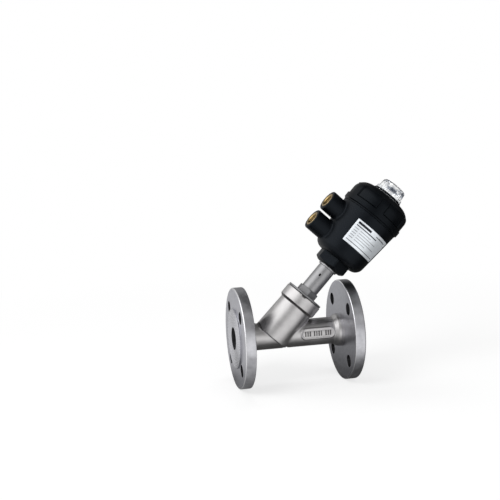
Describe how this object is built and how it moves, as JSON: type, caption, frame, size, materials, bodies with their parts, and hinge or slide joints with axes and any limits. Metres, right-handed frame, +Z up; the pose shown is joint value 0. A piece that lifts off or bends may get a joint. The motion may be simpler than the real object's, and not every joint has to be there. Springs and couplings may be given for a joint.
{
  "type": "angle seat valve",
  "caption": "Pneumatic angle seat valve with a flanged Y-pattern steel body, stem tube, plastic piston actuator head and clear position dome.",
  "frame": {"origin": "centre of the raised face of the inlet flange", "axes": "+X along the pipe from inlet to outlet, +Z up; the bonnet axis lies in the XZ plane and leans 47 degrees up from +X"},
  "size_m": [0.2049, 0.115, 0.2286],
  "materials": {
    "cast_steel": "shot-blasted investment casting, satin",
    "flange_steel": "turned, satin",
    "turned_steel": "turned, bright",
    "spring_steel": "drawn wire",
    "piston_metal": "machined",
    "gasket": "pressed graphite sheet",
    "bearing_polymer": "machined",
    "packing_polymer": "smooth",
    "seal_rubber": "moulded",
    "black_polymer": "moulded, satin",
    "cap_polymer": "moulded, satin",
    "label_foil": "silvered film",
    "clear_polymer": "clear moulded",
    "brass_insert": "turned",
    "indicator_red": "moulded"
  },
  "bodies": {
    "valve": {"valve_body": "cast_steel", "inlet_flange": "flange_steel", "outlet_flange": "flange_steel", "bonnet_gasket": "gasket", "bonnet": "turned_steel", "stem_tube": "turned_steel", "lower_guide_bush": "bearing_polymer", "packing_rings": "packing_polymer", "packing_washer": "turned_steel", "packing_spring": "spring_steel", "upper_guide_bush": "bearing_polymer", "stem_wiper": "seal_rubber", "thrust_washer": "turned_steel", "retaining_ring": "spring_steel"},
    "head": {"head_housing": "black_polymer", "base_nut": "black_polymer", "screw_cap": "cap_polymer", "cap_o_ring": "seal_rubber", "name_plate": "label_foil", "indicator_base_ring": "black_polymer", "indicator_dome": "clear_polymer", "return_spring": "spring_steel", "lower_port_insert": "brass_insert", "upper_port_insert": "brass_insert"},
    "stem_assembly": {"stem": "turned_steel", "valve_plug": "turned_steel", "seat_seal": "packing_polymer", "seal_washer": "turned_steel", "plug_nut": "turned_steel", "piston": "piston_metal", "piston_seal": "seal_rubber", "piston_nut": "turned_steel", "indicator_pin": "indicator_red"}
  },
  "joints": [
    {"name": "stem_slide", "type": "slide", "parent": "valve", "child": "stem_assembly", "axis": [0.682, 0, 0.7314], "range_m": [0, 0.012], "stiffness_N_per_m": 9000, "springref_m": -0.02, "deforming": ["return_spring"]},
    {"name": "head_swivel", "type": "hinge", "parent": "valve", "child": "head", "pos_m": [0.11902, 0, 0.08045], "axis": [0.682, 0, 0.7314], "continuous": true}
  ]
}
